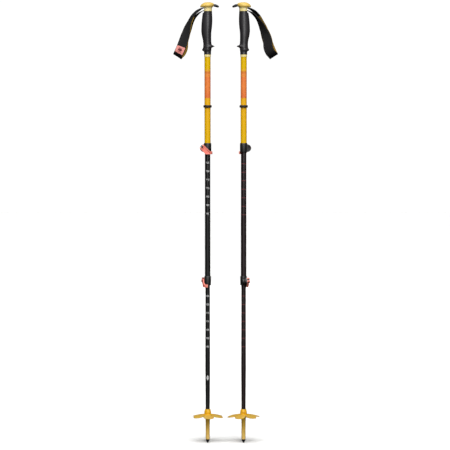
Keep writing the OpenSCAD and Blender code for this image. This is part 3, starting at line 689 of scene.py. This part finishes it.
# The ink's height over the metal and its depth under it, the highest number and the steps down.
INK = 0.09
INK_ROOT = -0.05
NUMBER_HIGH = 5.0
HIGHEST = 125
NUMBER_STEP = 5
MARK_STEP = 25
RHOMBUS_Z = 193.4
RHOMBUS_HALF_WIDE = 4.2
RHOMBUS_HALF_HIGH = 8
rhombus_turns = [2 * math.pi * k / 24 for k in range(24)]


def on_foot(side, x, z, proud):
    """A place on the lower tube's tapering front, sideways and up from the rhombus's middle."""
    height = RHOMBUS_Z + z
    radius = 6.1 + 0.9 * (height - 104) / 111 + proud
    a = x / 6.8
    return put_at(side, radius * math.sin(a), -radius * math.cos(a), height)


for side in ("left", "right"):
    for tube, radius, first_z in (("middle", 8, 828.2), ("lower", 7, 435.4)):
        whole = bmesh.new()
        for k in range(7):
            curve = bpy.data.curves.new("number", "FONT")
            curve.body = str(HIGHEST - NUMBER_STEP * k)
            curve.align_x = "CENTER"
            curve.align_y = "CENTER"
            curve.size = NUMBER_HIGH * 1.45
            curve.resolution_u = 3
            curve.offset = 0.16
            lettering = bpy.data.objects.new("number", curve)
            bpy.context.scene.collection.objects.link(lettering)
            bpy.context.view_layer.update()
            graph = bpy.context.evaluated_depsgraph_get()
            flat = bpy.data.meshes.new_from_object(lettering.evaluated_get(graph))
            bpy.data.objects.remove(lettering)
            number = bmesh.new()
            number.from_mesh(flat)
            bmesh.ops.remove_doubles(number, verts=number.verts, dist=0.01)
            # upright cuts every 0.6 mm let the number bend round the tube
            for cut in range(-9, 10):
                bmesh.ops.bisect_plane(number, geom=number.verts[:] + number.edges[:] + number.faces[:],
                                       plane_co=(cut * 0.6, 0, 0), plane_no=(1, 0, 0))
            front = bmesh.ops.extrude_face_region(number, geom=number.faces[:])["geom"]
            raised = {v for v in front if isinstance(v, bmesh.types.BMVert)}
            for v in number.verts:
                reach = radius + (INK if v in raised else INK_ROOT)
                a = v.co.x / radius
                z = first_z - MARK_STEP * k + v.co.y
                v.co = put_at(side, reach * math.sin(a), -reach * math.cos(a), z)
            number.to_mesh(flat)
            number.free()
            whole.from_mesh(flat)
            bpy.data.meshes.remove(flat)
        bmesh.ops.recalc_face_normals(whole, faces=whole.faces)
        mesh = bpy.data.meshes.new(f"{side}_{tube}_numbers")
        whole.to_mesh(mesh)
        whole.free()
        mesh.materials.append(pale_ink)
        numbers = bpy.data.objects.new(f"{side}_{tube}_numbers", mesh)
        bpy.context.scene.collection.objects.link(numbers)
        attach(numbers, f"{side}_{tube}")
    points = []
    for share, proud in ((1, INK_ROOT), (1, INK), (0.9, INK)):
        for a in rhombus_turns:
            reach = share / (abs(math.cos(a)) + abs(math.sin(a)))
            points.append(on_foot(side, RHOMBUS_HALF_WIDE * reach * math.cos(a),
                                  RHOMBUS_HALF_HIGH * reach * math.sin(a), proud))
    points.append(on_foot(side, 0, 0, INK))
    count = len(rhombus_turns)
    faces = [(r * count + k, r * count + (k + 1) % count, (r + 1) * count + (k + 1) % count,
              (r + 1) * count + k) for r in (0, 1) for k in range(count)]
    faces += [(2 * count + k, 2 * count + (k + 1) % count, 3 * count) for k in range(count)]
    mark = join_shapes(f"{side}_rhombus", [(points, faces)], pale_ink)
    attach(mark, f"{side}_lower")

# ---- choke ring ----------------------------------------------------------------------------------
# A ring of soft rubber is pushed onto the upper tube, to mark where a lower hold ends and to stop the
# hand from sliding.
# EPDM rubber: black, dull and slightly dusty, with mould texture drawn at 2.5 mm.
epdm, tree, shader = new_finish("epdm_rubber", {"IOR": 1.5, "Specular IOR Level": 0.35})
place = add(tree, "ShaderNodeTexCoord").outputs["Object"]
bloom = add(tree, "ShaderNodeTexNoise", {"Vector": place, "Scale": 400.0, "Detail": 4.0})
tint = add(tree, "ShaderNodeMix", {
    "Factor": bloom.outputs["Fac"], "A": linear("#1B1613"), "B": linear("#3A322C")}, data_type="RGBA")
rough = add(tree, "ShaderNodeMapRange", {"Value": bloom.outputs["Fac"], "To Min": 0.5, "To Max": 0.75})
tree.links.new(tint.outputs["Result"], shader.inputs["Base Color"])
tree.links.new(rough.outputs["Result"], shader.inputs["Roughness"])
for side in ("left", "right"):
    dress(f"{side}_choke_ring", epdm)

# ---- lever locks ---------------------------------------------------------------------------------
# Each lock is a split collar of black glass-filled nylon that a coral nylon cam lever pulls together
# through a steel screw and barrel nut, with a white acetal pad under the cam.
def soften(node, width):
    """Rounds the moulded edges of a CAD node a little."""
    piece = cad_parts[node]
    weld = piece.modifiers.new("weld", "WELD")
    weld.merge_threshold = 0.00001
    round_edges = piece.modifiers.new("round_edges", "BEVEL")
    round_edges.width = width
    round_edges.segments = 2
    round_edges.limit_method = "ANGLE"
    round_edges.angle_limit = math.radians(40)
    round_edges.harden_normals = True


# Coral nylon: dyed through, satin, with soft clouds in its colour and scuffs in its gloss, and a painted
# highlight that draws its convex rims paler.
coral_nylon, tree, shader = new_finish("coral_nylon", {
    "IOR": 1.53, "Subsurface Weight": 0.06, "Subsurface Scale": 0.002,
    "Subsurface Radius": (1.0, 0.4, 0.3)})
place = add(tree, "ShaderNodeTexCoord").outputs["Object"]
cloud = add(tree, "ShaderNodeTexNoise", {"Vector": place, "Scale": 90.0, "Detail": 3.0})
scuff = add(tree, "ShaderNodeTexNoise", {"Vector": place, "Scale": 600.0, "Detail": 5.0})
wear_and_rim_highlight = add(tree, "ShaderNodeNewGeometry").outputs["Pointiness"]
# painted highlight: the convex rims are drawn paler, towards a pale coral
edge = add(tree, "ShaderNodeMapRange", {"Value": wear_and_rim_highlight, "From Min": 0.52, "From Max": 0.62, "To Max": 0.7})
body_tint = add(tree, "ShaderNodeMix", {
    "Factor": cloud.outputs["Fac"], "A": linear("#EC7060"), "B": linear("#F68A78")}, data_type="RGBA")
tint = add(tree, "ShaderNodeMix", {
    "Factor": edge.outputs["Result"], "A": body_tint.outputs["Result"], "B": linear("#F3B3A4")},
    data_type="RGBA")
rough = add(tree, "ShaderNodeMapRange", {"Value": scuff.outputs["Fac"], "To Min": 0.34, "To Max": 0.52})
tree.links.new(tint.outputs["Result"], shader.inputs["Base Color"])
tree.links.new(rough.outputs["Result"], shader.inputs["Roughness"])

# Zinc-plated steel: bright and a little blue, with fine turning marks drawn 1.5 mm apart.
zinc, tree, shader = new_finish("zinc_plated_steel", {"Metallic": 1.0})
place = add(tree, "ShaderNodeTexCoord").outputs["Object"]
turning = add(tree, "ShaderNodeTexNoise", {"Vector": place, "Scale": 700.0, "Detail": 4.0})
tint = add(tree, "ShaderNodeMix", {
    "Factor": turning.outputs["Fac"], "A": linear("#8E9196"), "B": linear("#C2C4C8")}, data_type="RGBA")
rough = add(tree, "ShaderNodeMapRange", {"Value": turning.outputs["Fac"], "To Min": 0.28, "To Max": 0.42})
tree.links.new(tint.outputs["Result"], shader.inputs["Base Color"])
tree.links.new(rough.outputs["Result"], shader.inputs["Roughness"])

# Black oxide on steel: a thin dark skin, oily and satin, with the same turning marks.
black_oxide, tree, shader = new_finish("black_oxide_steel", {"Metallic": 1.0})
place = add(tree, "ShaderNodeTexCoord").outputs["Object"]
turning = add(tree, "ShaderNodeTexNoise", {"Vector": place, "Scale": 700.0, "Detail": 4.0})
tint = add(tree, "ShaderNodeMix", {
    "Factor": turning.outputs["Fac"], "A": linear("#1C1A1A"), "B": linear("#3A3838")}, data_type="RGBA")
rough = add(tree, "ShaderNodeMapRange", {"Value": turning.outputs["Fac"], "To Min": 0.3, "To Max": 0.45})
tree.links.new(tint.outputs["Result"], shader.inputs["Base Color"])
tree.links.new(rough.outputs["Result"], shader.inputs["Roughness"])

# Acetal: white and waxy, with faint flow marks 8 mm long.
acetal, tree, shader = new_finish("white_acetal", {
    "IOR": 1.48, "Roughness": 0.4, "Subsurface Weight": 0.1, "Subsurface Scale": 0.002})
place = add(tree, "ShaderNodeTexCoord").outputs["Object"]
flow = add(tree, "ShaderNodeTexNoise", {"Vector": place, "Scale": 120.0, "Detail": 3.0})
tint = add(tree, "ShaderNodeMix", {
    "Factor": flow.outputs["Fac"], "A": linear("#DADAD4"), "B": linear("#EFEFEB")}, data_type="RGBA")
tree.links.new(tint.outputs["Result"], shader.inputs["Base Color"])

for side in ("left", "right"):
    dress(f"{side}_strap_pin", zinc)
    for place_name in ("upper", "lower"):
        dress(f"{side}_{place_name}_collar", black_nylon)
        dress(f"{side}_{place_name}_lever", coral_nylon)
        dress(f"{side}_{place_name}_barrel_nut", black_oxide)
        dress(f"{side}_{place_name}_screw", black_oxide)
        dress(f"{side}_{place_name}_saddle", acetal)
        soften(f"{side}_{place_name}_collar", 0.0004)
        soften(f"{side}_{place_name}_lever", 0.0005)
        soften(f"{side}_{place_name}_screw", 0.0003)
    dress(f"{side}_middle_plug", acetal)
    dress(f"{side}_lower_plug", acetal)

# ---- tip -----------------------------------------------------------------------------------------
# The tip body is moulded in gold-coloured polyamide over the foot of the lower tube, and the point is
# a sintered tungsten carbide insert with a cupped end.
# Polyamide: satin, a little see-through, with painted light: bright gold up under the basket, lifted
# against the basket's shadow, and paler towards the point, as the light falls down the tip body.
gold_pa, tree, shader = new_finish("gold_polyamide", {
    "IOR": 1.53, "Subsurface Weight": 0.12, "Subsurface Scale": 0.003,
    "Subsurface Radius": (1.0, 0.7, 0.2)})
place = add(tree, "ShaderNodeTexCoord").outputs["Object"]
height = add(tree, "ShaderNodeSeparateXYZ", {"Vector": place}).outputs["Z"]
# painted light: the colour changes with height, bright gold under the basket and paler towards the point
painted_light_gradient = add(tree, "ShaderNodeMapRange", {"Value": height, "From Min": 0.07, "From Max": 0.012})
wear = add(tree, "ShaderNodeTexNoise", {"Vector": place, "Scale": 260.0, "Detail": 5.0})
body_tint = add(tree, "ShaderNodeMix", {
    "Factor": painted_light_gradient.outputs["Result"], "A": linear("#FFC832"), "B": linear("#F8D88A")}, data_type="RGBA")
tint = add(tree, "ShaderNodeMix", {
    "Factor": wear.outputs["Fac"], "A": body_tint.outputs["Result"], "B": linear("#E4B444")},
    data_type="RGBA")
rough = add(tree, "ShaderNodeMapRange", {"Value": wear.outputs["Fac"], "To Min": 0.32, "To Max": 0.5})
tree.links.new(tint.outputs["Result"], shader.inputs["Base Color"])
tree.links.new(rough.outputs["Result"], shader.inputs["Roughness"])

# Tungsten carbide: dark grey metal with a matt ground skin, whose 0.3 mm grain is drawn at 1.5 mm.
carbide, tree, shader = new_finish("tungsten_carbide", {"Metallic": 1.0})
place = add(tree, "ShaderNodeTexCoord").outputs["Object"]
grain = add(tree, "ShaderNodeTexNoise", {"Vector": place, "Scale": 700.0, "Detail": 4.0})
tint = add(tree, "ShaderNodeMix", {
    "Factor": grain.outputs["Fac"], "A": linear("#2A2B2D"), "B": linear("#4A4B4E")}, data_type="RGBA")
rough = add(tree, "ShaderNodeMapRange", {"Value": grain.outputs["Fac"], "To Min": 0.36, "To Max": 0.55})
tree.links.new(tint.outputs["Result"], shader.inputs["Base Color"])
tree.links.new(rough.outputs["Result"], shader.inputs["Roughness"])

for side in ("left", "right"):
    dress(f"{side}_tip_body", gold_pa)
    dress(f"{side}_tip_point", carbide)

# ---- basket --------------------------------------------------------------------------------------
# The snow basket is one moulding of flexible gold-yellow polyurethane: a hub that screws onto the tip
# body and a thin drooping disc cut into six petals.
# Thermoplastic polyurethane: light passes through the thin petals, and the hub looks deeper in colour.
tpu, tree, shader = new_finish("moulded_polyurethane", {
    "IOR": 1.5, "Subsurface Weight": 0.25, "Subsurface Scale": 0.003,
    "Subsurface Radius": (1.0, 0.7, 0.05)})
place = add(tree, "ShaderNodeTexCoord").outputs["Object"]
axes = add(tree, "ShaderNodeSeparateXYZ", {"Vector": place})
beside = add(tree, "ShaderNodeMath", {0: axes.outputs["X"]}, operation="ABSOLUTE")
from_axis = add(tree, "ShaderNodeMath", {0: beside.outputs[0], 1: HALF_GAP / 1000},
                operation="SUBTRACT")
flat_spot = add(tree, "ShaderNodeCombineXYZ", {"X": from_axis.outputs[0], "Y": axes.outputs["Y"]})
reach = add(tree, "ShaderNodeVectorMath", {0: flat_spot.outputs["Vector"]}, operation="LENGTH")
outwards = add(tree, "ShaderNodeMapRange", {
    "Value": reach.outputs["Value"], "From Min": 0.0115, "From Max": 0.024})
swirl = add(tree, "ShaderNodeTexNoise", {"Vector": place, "Scale": 110.0, "Detail": 3.0})
body_tint = add(tree, "ShaderNodeMix", {
    "Factor": outwards.outputs["Result"], "A": linear("#DAA400"), "B": linear("#C0A058")}, data_type="RGBA")
tint = add(tree, "ShaderNodeMix", {
    "Factor": swirl.outputs["Fac"], "A": body_tint.outputs["Result"], "B": linear("#D2A428")},
    data_type="RGBA")
rough = add(tree, "ShaderNodeMapRange", {"Value": swirl.outputs["Fac"], "To Min": 0.28, "To Max": 0.44})
tree.links.new(tint.outputs["Result"], shader.inputs["Base Color"])
tree.links.new(rough.outputs["Result"], shader.inputs["Roughness"])
for side in ("left", "right"):
    dress(f"{side}_basket", tpu)
    soften(f"{side}_basket", 0.0004)
